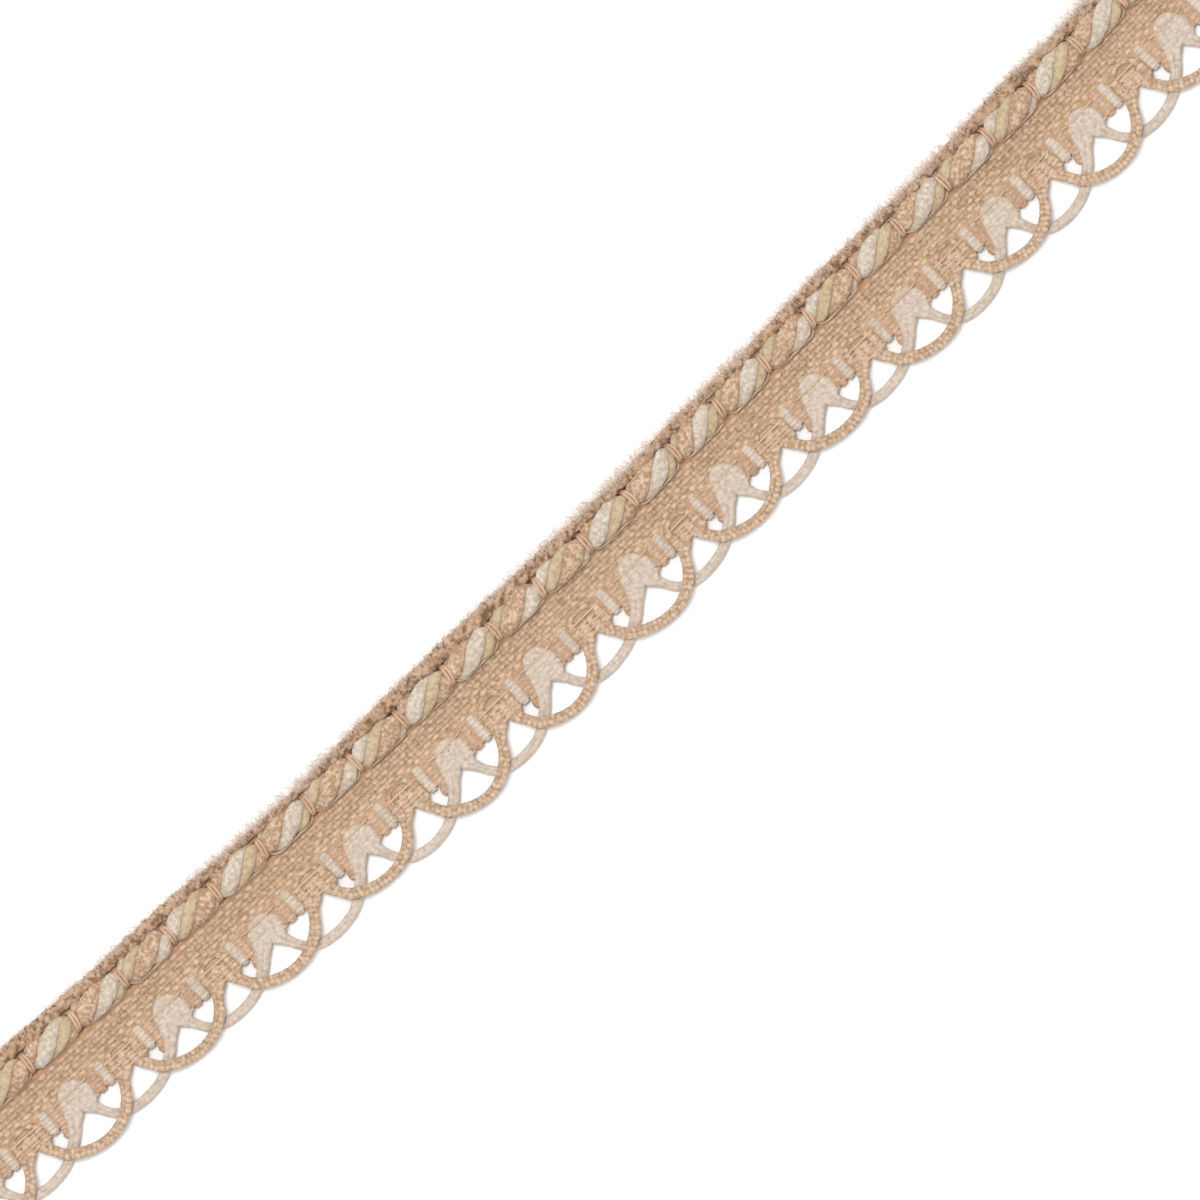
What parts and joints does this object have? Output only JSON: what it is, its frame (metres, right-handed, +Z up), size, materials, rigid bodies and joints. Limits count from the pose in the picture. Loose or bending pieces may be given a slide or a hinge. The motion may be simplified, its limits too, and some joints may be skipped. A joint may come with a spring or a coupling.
{
  "type": "gimp trim length",
  "caption": "Flat length of scalloped gimp braid: woven band, twisted heading cord tied down along one edge, and looped gimp cords along the other.",
  "frame": {"origin": "on the flat back face, at mid length, on the middle line of the woven band", "axes": "+X along the trim, +Y across it towards the heading cord, +Z up out of the face that shows"},
  "size_m": [0.1945, 0.0186, 0.0037],
  "materials": {
    "woven_ground": "matt plain weave in tan yarn",
    "heading_cord": "three strands in ivory, gold and tan, soft sheen",
    "edge_cord": "hairy brown yarn, matt",
    "tan_gimp": "beaded wrapped cord, soft sheen",
    "ivory_gimp": "smooth soft yarn, matt"
  },
  "bodies": {
    "root": {"ground_band": "woven_ground", "heading_cord": "heading_cord", "edge_cord": "edge_cord", "tan_gimp_cord": "tan_gimp", "ivory_gimp_cord": "ivory_gimp"}
  },
  "joints": []
}
